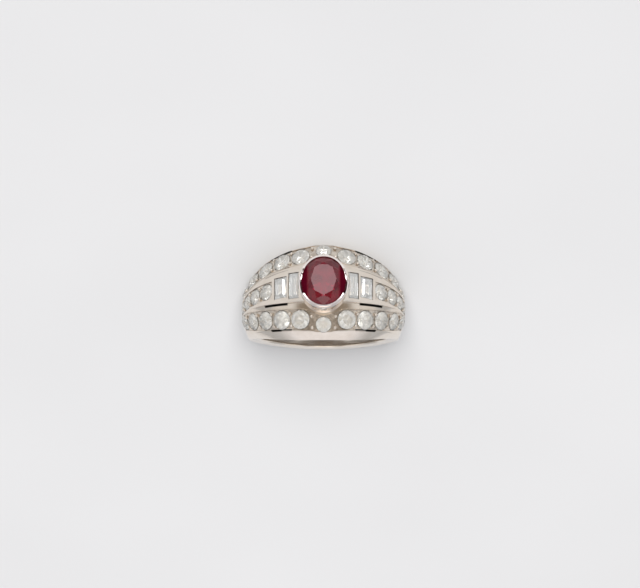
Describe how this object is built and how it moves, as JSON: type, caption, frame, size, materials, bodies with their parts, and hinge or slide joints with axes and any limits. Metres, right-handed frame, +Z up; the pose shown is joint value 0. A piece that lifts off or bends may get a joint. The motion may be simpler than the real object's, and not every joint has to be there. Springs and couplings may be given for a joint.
{
  "type": "ruby and diamond band ring",
  "caption": "Wide tapered finger ring lying on its side, with an oval red stone in a split bezel, baguettes beside it, rows of round stones and pierced slits.",
  "frame": {"origin": "on the surface that the ring lies on, under the middle of its bounding box", "axes": "+Z up, -Y toward the ruby, +X to the right of the ruby seen from the front"},
  "size_m": [0.0222, 0.024, 0.0131],
  "materials": {
    "white_gold": "polished white gold",
    "ruby": "faceted crimson stone",
    "diamond": "faceted clear stone"
  },
  "bodies": {
    "root": {"band": "white_gold", "ruby": "ruby", "baguette_left_inner": "diamond", "baguette_left_outer": "diamond", "baguette_right_inner": "diamond", "baguette_right_outer": "diamond", "middle_diamond_left_1": "diamond", "middle_diamond_left_2": "diamond", "middle_diamond_left_3": "diamond", "middle_diamond_left_4": "diamond", "middle_diamond_right_1": "diamond", "middle_diamond_right_2": "diamond", "middle_diamond_right_3": "diamond", "middle_diamond_right_4": "diamond", "upper_diamond_1": "diamond", "upper_diamond_2": "diamond", "upper_diamond_3": "diamond", "upper_diamond_4": "diamond", "upper_diamond_5": "diamond", "upper_diamond_6": "diamond", "upper_diamond_7": "diamond", "upper_diamond_8": "diamond", "upper_diamond_9": "diamond", "upper_diamond_10": "diamond", "upper_diamond_11": "diamond", "lower_diamond_1": "diamond", "lower_diamond_2": "diamond", "lower_diamond_3": "diamond", "lower_diamond_4": "diamond", "lower_diamond_5": "diamond", "lower_diamond_6": "diamond", "lower_diamond_7": "diamond", "lower_diamond_8": "diamond", "lower_diamond_9": "diamond", "lower_diamond_10": "diamond", "lower_diamond_11": "diamond"}
  },
  "joints": []
}
